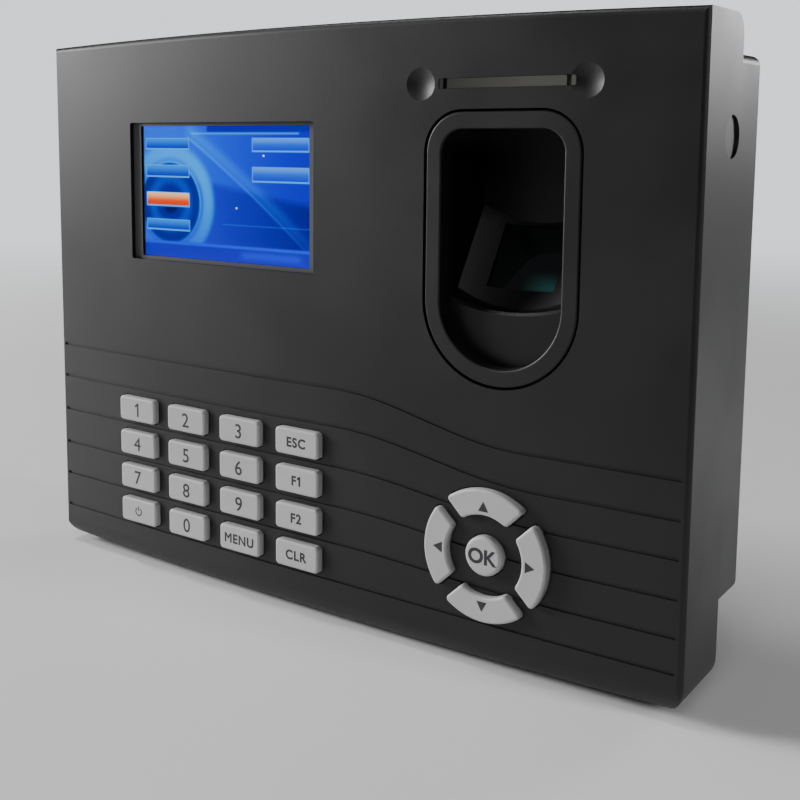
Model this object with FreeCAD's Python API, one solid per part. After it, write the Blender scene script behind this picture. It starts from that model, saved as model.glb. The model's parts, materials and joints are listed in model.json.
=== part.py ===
"""Wall-mounted fingerprint terminal: one STEP file per piece, in millimetres.

X runs to the right for someone facing the terminal, Y runs into the wall and Z is up.
The origin is the centre of the wall plate's hole pattern, on the plane of the wall (Y = 0).
Depths are counted backwards from the crown of the face, so the wall is at depth DEPTH.
"""
import FreeCAD, Part
import os
from math import cos, hypot, radians, sin, sqrt

from FreeCAD import Vector

# Casing
WIDTH = 180.0
HIGH, LOW = 68.5, -71.0   # heights of the casing's top corners and of the bottom's middle
DEPTH = 41.0
FACE_SAG = 1.7            # how far the face falls back at its left and right edges
TOP_RISE = 1.3            # how far the top edge arches up in the middle
BOTTOM_RISE = 1.1         # how far the bottom edge rises towards its ends
WALL = 2.4
FRONT_DEPTH = 22.0        # depth of the parting line between the two covers
BOTTOM_RADIUS = 6.0
TOP_BACK_RADIUS = 4.5
EDGE_RADIUS = 1.4
BEYOND = 150.0            # past every edge of the casing

# Thumb notch in the right side: height, depth of its centre, radius and slope in degrees
NOTCH_Z, NOTCH_DEPTH, NOTCH_R, NOTCH_SLOPE = 44.5, 17.4, 4.25, 4.5

# Rear cover
REAR_INSET = 1.5
REAR_LOW, REAR_HIGH = -54.7, 61.2
REAR_WALL = 2.4
REAR_BACK = 40.6          # depth of the rear cover's back face
REAR_FLOOR = 36.6         # depth of the inside of its back wall
RIM_LOW, RIM_HIGH = -66.5, 62.3
RIM_HALF = 87.2
RIM_THICK = 2.0
FIT = 0.2

# Wall plate
PLATE_THICK = 1.5
PLATE_HALF = 64.0
PLATE_Z = 44.0
PLATE_HOLE_X, PLATE_HOLE_Z = 50.0, 35.0
PLATE_HOLE_R = 2.3
BAY = (-42.0, 22.0, -20.0, 14.0)      # x and z limits of the connector bay
BAY_FLOOR = 29.0
KEYWAY_HALF = 8.5         # half the width of the slot that the plate's tab and wires pass
HOOKS = [(-44.0, -36.0), (36.0, 44.0)]    # x limits of the two hooks on the plate
HOOK_Z = (38.0, 39.5, 43.0)               # underside, top of the arm, top of the tip
HOOK_FRONT, HOOK_THICK = 34.6, 1.6
OBLONG_HALF, OBLONG_LONG = 2.0, 22.0      # the plate's fixing slots
OBLONGS = [(-38.0, -35.0), (16.0, -35.0), (-11.0, 32.0)]   # their left ends and heights
VENTS = [70.0 + 2.8 * k for k in range(5)]                 # left edges of the speaker's slots
VENT_WIDE, VENT_Z = 1.4, (-17.0, 9.0)

# Wave grooves: height at the left, height at the right, where the bend ends
GROOVES = [(-13.6, -21.2, 54), (-22.6, -29.2, 58), (-32.2, -37.1, 62),
           (-41.8, -45.2, 66), (-50.9, -53.1, 66), (-60.2, -60.5, 74)]
GROOVE_START = 8.0
GROOVE_END = 88.4         # where the rounding of the casing's upright edges begins
GROOVE_WIDE = 0.75
GROOVE_DEEP = 0.35

# Keypad
KEY_WIDE, KEY_TALL = 12.9, 6.5
KEY_ROUND = 1.1
KEY_X = [-57.65, -39.6, -21.5, -3.3]
KEY_TOP_ROW, KEY_PITCH = -28.05, 9.33
KEY_PROUD = 1.7
KEY_TRAVEL = 1.0
KEY_GAP = 0.3             # clearance between a key and its hole
FLANGE = 0.75             # how far a key's flange reaches past its cap
FLANGE_THICK = 1.0
STEM_LONG = 0.5
KEY_NAMES = [["key_1", "key_2", "key_3", "key_esc"],
             ["key_4", "key_5", "key_6", "key_f1"],
             ["key_7", "key_8", "key_9", "key_f2"],
             ["key_power", "key_0", "key_menu", "key_clear"]]

# Ring of arrow keys
NAV_X, NAV_Z = 47.0, -45.0
NAV_OUTER, NAV_INNER = 14.75, 9.1
NAV_SLOT = 1.55           # half the gap between two neighbouring ring keys
OK_R = 4.4
NAV_NAMES = ["nav_right", "nav_up", "nav_left", "nav_down"]

# Mats and boards behind the keys
MAT_DEPTH = 7.4
MAT_THICK = 0.8
DOME_HIGH = 0.7
BOARD_THICK = 1.6
KEY_MAT = (-66.2, 6.0, -62.0, -22.0)
NAV_MAT = (30.5, 63.5, -61.5, -28.5)

# Display
RECESS = (-60.0, 0.6, 12.5, 48.0)
SCREEN = (-57.2, -2.0, 13.4, 47.1)
RECESS_DEPTH = 2.0
LCD_MARGIN = 3.4          # how far the window reaches past the recess
WINDOW_THICK = 1.0
LCD_BORDER = 3.9          # how far the panel reaches past its picture
LCD_GLASS, LCD_THICK = 0.4, 4.5
FRAME_TALL, FRAME_SHEET = 5.6, 0.4

# Light bar and dimples
BAR = (33.6, 64.5, 54.5, 56.7)
BAR_RIB = 1.0             # width of the rib at each end of the bar, and of the slot beside it
DIMPLES = [(29.3, 55.6), (67.0, 55.5)]
DIMPLE_R, DIMPLE_DEEP = 3.5, 0.8

# Fingerprint sensor
SENSOR_X = 48.4
RING_HALF, RING_HIGH, RING_LOW, RING_ROUND = 17.7, 49.8, -8.1, 8.6
RING_BAND = 3.7
RING_GAP = 0.45
RING_BACK = 4.9
RING_SOFT = 0.45          # rounding of the ring's front edges
WELL_WALL = 1.4
WELL_BACK = 23.0
HOLLOW_BACK = 20.0
LIP_Z, LIP_R = 7.4, 42.0  # lowest point and radius of the finger lip
LIP_BACK = 8.4            # depth where the lip's ledge ends and the trough starts
LIP_STEP = 0.3            # how far the trough's lowest point is above the ledge's
LIP_BEVEL = 0.6
TROUGH_SLOPE = 57.0       # rise of the finger trough towards the back, in degrees
TROUGH_R = 48.0
PLATEN_START, PLATEN_END = 4.6, 20.5    # reach of the platen, along the trough from the ledge
PLATEN_HALF = 8.0
GLASS_DROP = 0.15         # how far the glass lies under the trough's lowest line
HOUSING_Z = (6.0, 30.0)
HOUSING_HALF = 12.0
HOUSING_BACK = 33.0

# Main board
MAIN_DEPTH = 24.0
MAIN_BOARD = (-80.0, 26.0, -46.0, 44.0)
CELL_X, CELL_Z, CELL_R, CELL_THICK = -66.0, -28.0, 10.0, 3.2
# Each socket's x and z limits, and the depth of its mouth
SOCKETS = {
    "network_socket": ((-39.0, -23.0, -16.0, -2.0), 38.0),
    "power_socket": ((-18.5, -9.5, -15.0, -5.0), 37.0),
    "usb_socket": ((-4.0, 11.2, -14.0, -6.5), 37.5),
    "terminal_block": ((-38.0, 2.0, 3.0, 11.0), 37.0),
}
TERMINAL_COUNT = 8
PORT_DEEP = 10.0          # how far the network plug reaches in
PLUG_DEEP = 9.0           # how far power and USB plugs reach in
JACK_R, JACK_PIN_R = 3.15, 1.0
USB_SHELL, USB_TONGUE = 0.9, 2.0
RESET = (14.0, 6.5)
TAMPER = (-58.0, 20.0)
SWITCH_HALF = 3.0
BUTTON_R = 1.5
SPEAKER = (67.0, 85.0, -20.0, 12.0)
ANTENNA = (22.0, 65.0, -62.0, -14.0)

BOSSES = [(-76.0, 50.5), (76.0, 50.5), (-70.0, -59.0), (70.0, -59.0)]
BOSS_R = 3.4
PILOT_R = 1.1
SCREW_R = 1.25
SCREW_HEAD_R = 2.7
SCREW_HEAD_HIGH = 1.8
CROSS_LONG, CROSS_WIDE, CROSS_DEEP = 2.6, 0.7, 1.0    # the cross in a screw's head
STEM_R = 1.8              # the stem under a key, and the top of the dome below it
BOARD_SCREW_R = 1.2
LOCK_DEPTH = 35.0         # depth of the screw that locks the terminal to its wall plate

FACE_RADIUS = ((WIDTH / 2) ** 2 + FACE_SAG ** 2) / (2 * FACE_SAG)
TOP_RADIUS = ((WIDTH / 2) ** 2 + TOP_RISE ** 2) / (2 * TOP_RISE)


def y_at(depth):
    """Y of a plane this far behind the crown of the face."""
    return depth - DEPTH


def sag(x):
    """How far the face has fallen back at this x."""
    return FACE_RADIUS - sqrt(FACE_RADIUS ** 2 - x ** 2)


def prism_y(wire, front, back):
    """A wire drawn in the XZ plane, filled and extruded from one depth to another."""
    face = Part.Face(wire)
    face.translate(Vector(0, y_at(front), 0))
    return face.extrude(Vector(0, back - front, 0))


def prism_x(points, x_low, x_high):
    """A polygon of (depth, z) points, extruded along X."""
    corners = [Vector(x_low, y_at(d), z) for d, z in points]
    face = Part.Face(Part.makePolygon(corners + corners[:1]))
    return face.extrude(Vector(x_high - x_low, 0, 0))


def block(x_low, x_high, z_low, z_high, front, back):
    size = (x_high - x_low, back - front, z_high - z_low)
    return Part.makeBox(*size, Vector(x_low, y_at(front), z_low))


def rod(x, z, radius, front, back):
    """A cylinder along Y."""
    return Part.makeCylinder(radius, back - front, Vector(x, y_at(front), z), Vector(0, 1, 0))


def grown(limits, margin):
    x_low, x_high, z_low, z_high = limits
    return (x_low - margin, x_high + margin, z_low - margin, z_high + margin)


def arc(start, middle, end):
    return Part.Arc(*[Vector(x, 0, z) for x, z in (start, middle, end)]).toShape()


def line(start, end):
    return Part.makeLine(Vector(start[0], 0, start[1]), Vector(end[0], 0, end[1]))


def rounded_outline(x_low, x_high, z_low, z_high, low_radius, high_radius):
    """Rectangle with its lower and upper corners rounded by their own radii."""
    edges = []
    a, b = low_radius, high_radius
    low, high = low_radius * (1 - sqrt(0.5)), high_radius * (1 - sqrt(0.5))
    edges.append(line((x_low, z_low + a), (x_low, z_high - b)))
    edges.append(arc((x_low, z_high - b), (x_low + high, z_high - high), (x_low + b, z_high)))
    if x_high - b > x_low + b + 1e-6:
        edges.append(line((x_low + b, z_high), (x_high - b, z_high)))
    edges.append(arc((x_high - b, z_high), (x_high - high, z_high - high), (x_high, z_high - b)))
    edges.append(line((x_high, z_high - b), (x_high, z_low + a)))
    edges.append(arc((x_high, z_low + a), (x_high - low, z_low + low), (x_high - a, z_low)))
    if x_high - a > x_low + a + 1e-6:
        edges.append(line((x_high - a, z_low), (x_low + a, z_low)))
    edges.append(arc((x_low + a, z_low), (x_low + low, z_low + low), (x_low, z_low + a)))
    return Part.Wire(edges)


def rounded_block(limits, radius, front, back):
    return prism_y(rounded_outline(*limits, radius, radius), front, back)


def sensor_outline(inset):
    """The sensor's U: a half circle below and rounded corners above."""
    half = RING_HALF - inset
    limits = (SENSOR_X - half, SENSOR_X + half, RING_LOW + inset, RING_HIGH - inset)
    return rounded_outline(*limits, half, RING_ROUND - inset)


def behind_face(skin, half=WIDTH / 2, back=FRONT_DEPTH, low=-BEYOND, high=BEYOND):
    """Everything more than this skin behind the curved face."""
    drop = sag(half)
    front = y_at(skin)
    left, right = Vector(-half, front + drop, low), Vector(half, front + drop, low)
    crown = Vector(0, front, low)
    corners = [right, Vector(half, y_at(back), low), Vector(-half, y_at(back), low), left]
    edges = [Part.Arc(left, crown, right).toShape()]
    edges += [Part.makeLine(a, b) for a, b in zip(corners, corners[1:])]
    return Part.Face(Part.Wire(edges)).extrude(Vector(0, 0, high - low))


def edges_near(shape, test):
    return [e for e in shape.Edges if test(e.BoundBox)]


def arched_outline():
    """The space inside the casing's outline: straight sides, an arched top and bottom."""
    half, low = WIDTH / 2, LOW + BOTTOM_RISE
    edges = [arc((-half, HIGH), (0, HIGH + TOP_RISE), (half, HIGH)),
             line((half, HIGH), (half, low)), arc((half, low), (0, LOW), (-half, low)),
             line((-half, low), (-half, HIGH))]
    return prism_y(Part.Wire(edges), -1, DEPTH)


def upright_shaving(side):
    """What rounding one of the casing's upright front edges takes off."""
    inset = EDGE_RADIUS - 0.03
    x = side * (WIDTH / 2 - inset)
    depth = sag(x) + inset
    waste = block(min(x, x + side * 5), max(x, x + side * 5), -BEYOND, BEYOND, depth - 5, depth)
    foot = Vector(x, y_at(depth), -BEYOND)
    return waste.cut(Part.makeCylinder(EDGE_RADIUS, 2 * BEYOND, foot))


def front_body():
    body = behind_face(0).common(arched_outline())
    back, bottom = y_at(FRONT_DEPTH), LOW + BOTTOM_RISE + 0.1
    below = edges_near(body, lambda b: b.ZMax < bottom and b.YMin < back - 0.1)
    body = body.makeFillet(BOTTOM_RADIUS, below)
    top_back = edges_near(body, lambda b: b.ZMin > HIGH - 1 and b.YMin > back - 0.01)
    body = body.makeFillet(TOP_BACK_RADIUS, top_back)
    top_front = edges_near(body, lambda b: b.ZMin > HIGH - 1 and b.YMax < back / 2 - 15)
    body = body.makeFillet(EDGE_RADIUS, top_front)
    return body.cut([upright_shaving(-1), upright_shaving(1)])


def groove_height(x, left, right, end):
    """An S from the left height to the right height."""
    part = min(max((x - GROOVE_START) / (end - GROOVE_START), 0), 1)
    return left + (right - left) * part * part * (3 - 2 * part)


def groove(left, right, end):
    steps = [-92, -60, -30, GROOVE_START - 6, GROOVE_START]
    steps += [GROOVE_START + (end - GROOVE_START) * k / 5 for k in range(1, 6)]
    steps += [end + 6, 84, 92]
    edges = []
    for side in (1, -1):
        points = [Vector(x, 0, groove_height(x, left, right, end) + side * GROOVE_WIDE / 2)
                  for x in steps]
        curve = Part.BSplineCurve()
        curve.interpolate(points)
        edges.append(curve.toShape())
    upper, lower = edges
    ends = [Part.makeLine(upper.Vertexes[k].Point, lower.Vertexes[k].Point) for k in (0, 1)]
    band = prism_y(Part.Wire(Part.__sortEdges__([upper, ends[1], lower, ends[0]])), -1, 4)
    band = band.common(block(-GROOVE_END, GROOVE_END, LOW, 0, -1, 4))
    return band.cut(behind_face(GROOVE_DEEP, WIDTH / 2 + 1, DEPTH))


def thumb_notch():
    """A round finger notch in the right side, flush at its front and deepest at its back."""
    slope = radians(NOTCH_SLOPE)
    along = Vector(cos(slope), sin(slope), 0)
    middle_drop = NOTCH_R * sin(slope)
    centre = Vector(WIDTH / 2 - middle_drop, y_at(NOTCH_DEPTH), NOTCH_Z)
    return Part.makeCylinder(NOTCH_R, 8, centre, along)


def key_centres():
    """Each keypad key's name and centre."""
    for row, names in enumerate(KEY_NAMES):
        for x, name in zip(KEY_X, names):
            yield name, x, KEY_TOP_ROW - row * KEY_PITCH


def key_limits(x, z, margin=0.0):
    return grown((x - KEY_WIDE / 2, x + KEY_WIDE / 2, z - KEY_TALL / 2, z + KEY_TALL / 2), margin)


def ring_key_body(turn, margin, front, back):
    """A quarter of the ring of arrow keys, turned from the right-hand one."""
    outer, inner, slot = NAV_OUTER + margin, NAV_INNER - margin, NAV_SLOT - margin
    body = rod(0, 0, outer, front, back).cut(rod(0, 0, inner, front - 1, back + 1))
    reach = 2 * outer
    shift = slot * sqrt(2)
    points = [(shift, 0), (shift + reach, reach), (shift + reach, -reach)]
    edges = [line(a, b) for a, b in zip(points, points[1:] + points[:1])]
    body = body.common(prism_y(Part.Wire(edges), front, back))
    corners = edges_near(body, lambda b: b.XLength + b.ZLength < 0.001)
    body = body.makeFillet(0.9 + max(margin, 0) / 2, corners)
    body.rotate(Vector(0, 0, 0), Vector(0, 1, 0), -turn)
    body.translate(Vector(NAV_X, 0, NAV_Z))
    return body


def softened(body, radius, front):
    """Rounds the edges of a cap's flat front."""
    plane = y_at(front)
    rim = edges_near(body, lambda b: abs(b.YMin - plane) < 1e-4 and abs(b.YMax - plane) < 1e-4)
    return body.makeFillet(radius, rim)


def key_planes(x, half):
    """Depths of a key's front, its flange's front and its flange's back."""
    rest = max(sag(x - half), sag(x + half)) + WALL + KEY_GAP
    return sag(x) - KEY_PROUD, rest, rest + FLANGE_THICK


def keypad_key(x, z):
    front, rest, back = key_planes(x, KEY_WIDE / 2 + FLANGE)
    cap = softened(rounded_block(key_limits(x, z), KEY_ROUND, front, rest), 0.6, front)
    flange = rounded_block(key_limits(x, z, FLANGE), KEY_ROUND, rest, back)
    return cap.fuse([flange, rod(x, z, STEM_R, back, back + STEM_LONG)]).removeSplitter()


def ring_key(turn):
    front, rest, back = key_planes(NAV_X, NAV_OUTER + FLANGE)
    cap = softened(ring_key_body(turn, 0, front, rest), 0.6, front)
    middle = (NAV_OUTER + NAV_INNER) / 2
    x = NAV_X + middle * cos(radians(turn))
    z = NAV_Z + middle * sin(radians(turn))
    flange = ring_key_body(turn, FLANGE, rest, back)
    return cap.fuse([flange, rod(x, z, STEM_R, back, back + STEM_LONG)]).removeSplitter()


def ok_key():
    front, rest, back = key_planes(NAV_X, NAV_OUTER + FLANGE)
    cap = softened(rod(NAV_X, NAV_Z, OK_R, front, rest), 0.8, front)
    flange = rod(NAV_X, NAV_Z, OK_R + FLANGE, rest, back)
    return cap.fuse([flange, rod(NAV_X, NAV_Z, STEM_R, back, back + STEM_LONG)]).removeSplitter()


def dimple(x, z):
    """A shallow round dish in the face."""
    ball = (DIMPLE_R ** 2 + DIMPLE_DEEP ** 2) / (2 * DIMPLE_DEEP)
    return Part.makeSphere(ball, Vector(x, y_at(sag(x) + DIMPLE_DEEP - ball), z))


def front_cover():
    cover = front_body()
    cavity = behind_face(WALL, RIM_HALF + FIT, DEPTH, RIM_LOW - FIT, RIM_HIGH + FIT)
    cover = cover.cut(cavity)
    bosses = [rod(x, z, BOSS_R, WALL, FRONT_DEPTH - RIM_THICK) for x, z in BOSSES]
    cover = cover.fuse([b.common(behind_face(WALL / 2, back=DEPTH)) for b in bosses])
    cuts = [rod(x, z, PILOT_R, FRONT_DEPTH - 12, DEPTH) for x, z in BOSSES]
    cuts += [block(*grown(RECESS, LCD_MARGIN + FIT), RECESS_DEPTH, WALL + FACE_SAG)]
    cuts += [rounded_block(RECESS, 0.6, -1, DEPTH / 2)]
    cuts += [rounded_block(key_limits(x, z, KEY_GAP), KEY_ROUND + KEY_GAP, -2, 8)
             for _, x, z in key_centres()]
    cuts += [ring_key_body(90 * k, KEY_GAP, -2, 8) for k in range(4)]
    cuts += [rod(NAV_X, NAV_Z, OK_R + KEY_GAP, -2, 8)]
    cuts += [prism_y(sensor_outline(-RING_GAP), -2, 8)]
    cover = cover.cut(cuts)
    cover = cover.cut([groove(*places) for places in GROOVES])
    for x, z in DIMPLES:
        cover = cover.cut(dimple(x, z))
    return cover.cut([rounded_block(BAR, 0.5, -2, 8), thumb_notch()])


def rear_cover():
    half = WIDTH / 2 - REAR_INSET
    shell = rounded_block((-half, half, REAR_LOW, REAR_HIGH), 2.0, FRONT_DEPTH, REAR_BACK)
    plane = y_at(REAR_BACK)
    shell = shell.makeFillet(2.6, edges_near(shell, lambda b: b.YMin > plane - 0.01))
    rim = block(-RIM_HALF, RIM_HALF, RIM_LOW, RIM_HIGH, FRONT_DEPTH - RIM_THICK, FRONT_DEPTH)
    inner = half - REAR_WALL
    hollow = block(-inner, inner, REAR_LOW + REAR_WALL, REAR_HIGH - REAR_WALL, 0, REAR_FLOOR)
    shell = shell.fuse(rim).cut(hollow)
    tubes = [rod(x, z, 5.0, FRONT_DEPTH - RIM_THICK, REAR_FLOOR) for x, z in BOSSES[:2]]
    posts = [rod(x, z, 3.0, MAIN_DEPTH + BOARD_THICK, REAR_FLOOR) for x, z in board_holes(MAIN_BOARD)]
    bay = block(*grown(BAY, REAR_WALL), BAY_FLOOR - 2, REAR_FLOOR)
    shell = shell.fuse(tubes + posts + [bay])
    cuts = [block(*BAY, BAY_FLOOR, DEPTH)]
    cuts += [block(*socket, BAY_FLOOR - 3, DEPTH) for socket in
             [grown(limits, FIT) for limits, _ in SOCKETS.values()]]
    cuts += [block(*square(RESET, SWITCH_HALF + FIT), BAY_FLOOR - 3, DEPTH)]
    cuts += [rod(*TAMPER, 2.1, REAR_FLOOR - 1, DEPTH)]
    cuts += [rod(x, z, BOARD_SCREW_R, 20, 32) for x, z in board_holes(MAIN_BOARD)]
    recess = DEPTH - PLATE_THICK - FIT
    cuts += [rounded_block((-PLATE_HALF - 0.5, PLATE_HALF + 0.5, -PLATE_Z - 0.5, PLATE_Z + 0.5),
                           3.5, recess, DEPTH)]
    low, hook_low, arm_top, _ = REAR_LOW + REAR_WALL, *HOOK_Z
    cuts += [block(-KEYWAY_HALF, KEYWAY_HALF, low, -PLATE_Z + 4, recess, DEPTH)]
    cuts += [block(-KEYWAY_HALF, KEYWAY_HALF, low, low + 2.8, HOOK_FRONT - 4.1, DEPTH)]
    cuts += [block(a - 0.5, b + 0.5, hook_low - 4.5, arm_top + 0.4, REAR_FLOOR - 1, DEPTH)
             for a, b in HOOKS]
    cuts += [Part.makeCylinder(1.7, 9, Vector(0, y_at(LOCK_DEPTH), REAR_LOW - 3))]
    for x, z in BOSSES[:2]:
        cuts += [rod(x, z, 3.3, 26, DEPTH), rod(x, z, 1.5, 0, DEPTH)]
    cuts += [rod(x, z, 1.5, 0, DEPTH) for x, z in BOSSES[2:]]
    cuts += [rounded_block((x, x + VENT_WIDE, *VENT_Z), VENT_WIDE / 2 - 0.01, REAR_FLOOR - 1, DEPTH)
             for x in VENTS]
    return shell.cut(cuts)


def wall_plate():
    front = DEPTH - PLATE_THICK
    limits = (-PLATE_HALF, PLATE_HALF, -PLATE_Z, PLATE_Z)
    plate = rounded_block(limits, 3.0, front, DEPTH)
    tab_low = REAR_LOW + REAR_WALL + 0.4
    half = KEYWAY_HALF - 0.5
    parts = [block(-half, half, tab_low, -PLATE_Z, front, DEPTH)]
    parts += [block(-half, half, tab_low, tab_low + PLATE_THICK, 31, front)]
    hook_low, arm_top, tip_top = HOOK_Z
    for a, b in HOOKS:
        parts += [block(a, b, hook_low, arm_top, HOOK_FRONT, front),
                  block(a, b, hook_low, tip_top, HOOK_FRONT, HOOK_FRONT + HOOK_THICK)]
    plate = plate.fuse(parts).removeSplitter()
    cuts = [rod(sx * PLATE_HOLE_X, sz * PLATE_HOLE_Z, PLATE_HOLE_R, front - 1, DEPTH + 1)
            for sx in (-1, 1) for sz in (-1, 1)]
    cuts += [rounded_block(grown(BAY, 3.5), 3.0, front - 1, DEPTH + 1)]
    cuts += [Part.makeCylinder(SCREW_R, 6, Vector(0, y_at(LOCK_DEPTH), tab_low - 2))]
    cuts += [rounded_block((x, x + OBLONG_LONG, z - OBLONG_HALF, z + OBLONG_HALF),
                           OBLONG_HALF - 0.01, front - 1, DEPTH + 1) for x, z in OBLONGS]
    return plate.cut(cuts)


def screw(long, radius, head_radius=SCREW_HEAD_R):
    """A pan-head screw that points up, with the seat of its head at the origin."""
    down = Vector(0, 0, -1)
    shank = Part.makeCylinder(radius, long)
    head = Part.makeCylinder(head_radius, SCREW_HEAD_HIGH, Vector(0, 0, 0), down)
    rim = edges_near(head, lambda b: b.ZMax < 0.001 - SCREW_HEAD_HIGH and b.XLength > 1)
    head = head.makeFillet(0.7, rim)
    slots = [Part.makeBox(a, b, CROSS_DEEP, Vector(-a / 2, -b / 2, -SCREW_HEAD_HIGH))
             for a, b in ((CROSS_LONG, CROSS_WIDE), (CROSS_WIDE, CROSS_LONG))]
    return shank.fuse(head).cut(slots)


def driven_forwards(made, x, z, seat):
    """Turns a screw that points up to point towards -Y from this seat."""
    made.rotate(Vector(0, 0, 0), Vector(1, 0, 0), 90)
    made.translate(Vector(x, y_at(seat), z))
    return made


def cover_screws():
    tip, deep, shallow = 12.0, 26.0, FRONT_DEPTH
    return Part.makeCompound([driven_forwards(screw(seat - tip, PILOT_R), x, z, seat)
                              for (x, z), seat in zip(BOSSES, (deep, deep, shallow, shallow))])


def plate_lock_screw():
    """The screw that comes up from below through the rear cover into the plate's tab."""
    made = screw(9.0, SCREW_R - 0.02, SCREW_HEAD_R + 0.1)
    made.translate(Vector(0, y_at(LOCK_DEPTH), REAR_LOW))
    return made


def mat(limits, centres):
    """A rubber sheet with a low dome under each key."""
    sheet = rounded_block(limits, 1.5, MAT_DEPTH, MAT_DEPTH + MAT_THICK)
    domes = [Part.makeCone(STEM_R, STEM_R + 0.8, DOME_HIGH, Vector(x, y_at(MAT_DEPTH - DOME_HIGH), z),
                           Vector(0, 1, 0)) for x, z in centres]
    return sheet.fuse(domes)


def nav_centres():
    middle = (NAV_OUTER + NAV_INNER) / 2
    ring = [(NAV_X + middle * cos(radians(a)), NAV_Z + middle * sin(radians(a)))
            for a in (0, 90, 180, 270)]
    return ring + [(NAV_X, NAV_Z)]


def board(limits, front, holes=(), hole_radius=1.6):
    plate = rounded_block(limits, 1.0, front, front + BOARD_THICK)
    if not holes:
        return plate
    return plate.cut([rod(x, z, hole_radius, front - 1, front + 3) for x, z in holes])


def board_holes(limits):
    """Corner holes 4 mm in from a board's edges."""
    x_low, x_high, z_low, z_high = grown(limits, -4.0)
    return [(x, z) for x in (x_low, x_high) for z in (z_low, z_high)]


def lcd_window():
    back = RECESS_DEPTH + WINDOW_THICK
    return rounded_block(grown(RECESS, LCD_MARGIN), 1.0, RECESS_DEPTH, back)


def lcd_frame():
    """A tin can around the panel, open at its back, with a hole for the picture."""
    front, inside = RECESS_DEPTH + WINDOW_THICK, LCD_BORDER + 0.1
    can = block(*grown(SCREEN, inside + FRAME_SHEET), front, front + FRAME_TALL)
    return can.cut([block(*grown(SCREEN, 0.4), front - 1, front + 2),
                    block(*grown(SCREEN, inside), front + FRAME_SHEET, front + FRAME_TALL + 1)])


def lcd_panel():
    front = RECESS_DEPTH + WINDOW_THICK + 0.1
    glass = block(*grown(SCREEN, 0.2), front, front + LCD_GLASS)
    stack = block(*grown(SCREEN, LCD_BORDER), front + LCD_GLASS, front + LCD_THICK)
    return glass.fuse(stack).removeSplitter()


def light_bar():
    """A clear bar, flush with the face, with a rib and a slot at each end."""
    bar = rounded_block(grown(BAR, -0.05), 0.45, -1, 6.0).common(behind_face(0.1, back=DEPTH))
    foot = rounded_block(grown(BAR, 1.0), 0.8, 4.6, 6.0)
    bar = bar.fuse(foot).removeSplitter()
    x_low, x_high, z_low, z_high = BAR
    slots = [block(x, x + BAR_RIB, z_low - 1, z_high + 1, -1, sag(x) + 1.2)
             for x in (x_low + BAR_RIB, x_high - 2 * BAR_RIB)]
    return bar.cut(slots)


def indicator_leds():
    x_low, x_high, z_low, z_high = BAR
    z = (z_low + z_high) / 2
    return Part.makeCompound([block(x - 1.5, x + 1.5, z - 1, z + 1, 6.3, 7.4)
                              for x in (x_low + 4, (x_low + x_high) / 2, x_high - 4)])


def sensor_bezel():
    """The flat ring around the sensor, with a flange behind the cover."""
    ring = prism_y(sensor_outline(0), -1, RING_BACK)
    ring = ring.cut(prism_y(sensor_outline(RING_BAND), -2, RING_BACK + 1))
    ring = ring.common(behind_face(0.15, back=DEPTH))
    front = edges_near(ring, lambda b: b.YMax < y_at(RING_BACK / 2))
    ring = ring.makeFillet(RING_SOFT, front)
    flange = prism_y(sensor_outline(-1.5), RING_BACK - 1.3, RING_BACK)
    flange = flange.cut(prism_y(sensor_outline(RING_BAND), 0, RING_BACK + 1))
    return ring.fuse(flange).removeSplitter()


def up_trough(reach, above=0.0):
    """Depth and z of a point this far up the trough from the ledge, and above its lowest line."""
    slope = radians(TROUGH_SLOPE)
    depth = LIP_BACK + reach * cos(slope) - above * sin(slope)
    return depth, LIP_Z + LIP_STEP + reach * sin(slope) + above * cos(slope)


def trough():
    """The cylinder whose underside is the trough's floor."""
    slope = radians(TROUGH_SLOPE)
    depth, z = up_trough(-BEYOND / 2, TROUGH_R)
    foot, along = Vector(SENSOR_X, y_at(depth), z), Vector(0, cos(slope), sin(slope))
    return Part.makeCylinder(TROUGH_R, BEYOND, foot, along)


def finger_lip():
    """The space over the lip: a curved ledge with a bevelled front edge."""
    axis_z = LIP_Z + LIP_R
    ledge = rod(SENSOR_X, axis_z, LIP_R, 0, LIP_BACK)
    past = 0.3
    bevel = Part.makeCone(LIP_R + LIP_BEVEL + past, LIP_R - past, LIP_BEVEL + 2 * past,
                          Vector(SENSOR_X, y_at(RING_BACK - past), axis_z), Vector(0, 1, 0))
    return ledge.fuse(bevel)


def finger_hollow():
    """The space for a finger: over the lip and up the round trough to a flat back wall."""
    inside = prism_y(sensor_outline(RING_BAND), 0, HOLLOW_BACK)
    behind_lip = prism_y(sensor_outline(RING_BAND), LIP_BACK, HOLLOW_BACK)
    return [inside.common(finger_lip()), behind_lip.common(trough())]


def platen_prism(margin, above=0.0):
    """The platen's prism, and the space this far above it, inside this margin."""
    start, end = PLATEN_START + margin, PLATEN_END - margin
    low, high = up_trough(start, -GLASS_DROP), up_trough(end, -GLASS_DROP)
    points = [low, up_trough(start, above), up_trough(end, above), high]
    points += [(WELL_BACK, high[1]), (WELL_BACK, low[1])]
    half = PLATEN_HALF - margin
    return prism_x(points, SENSOR_X - half, SENSOR_X + half)


def sensor_well():
    body = prism_y(sensor_outline(RING_BAND - WELL_WALL), RING_BACK, WELL_BACK)
    for hollow in finger_hollow():
        body = body.cut(hollow)
    return body.cut(platen_prism(0.0, 3.0))


def sensor_prism():
    """The glass prism whose sloping front is the platen."""
    return platen_prism(0.1, -GLASS_DROP / 2)


def housing_limits(margin=0.0):
    low, high = HOUSING_Z
    return grown((SENSOR_X - HOUSING_HALF, SENSOR_X + HOUSING_HALF, low, high), margin)


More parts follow.
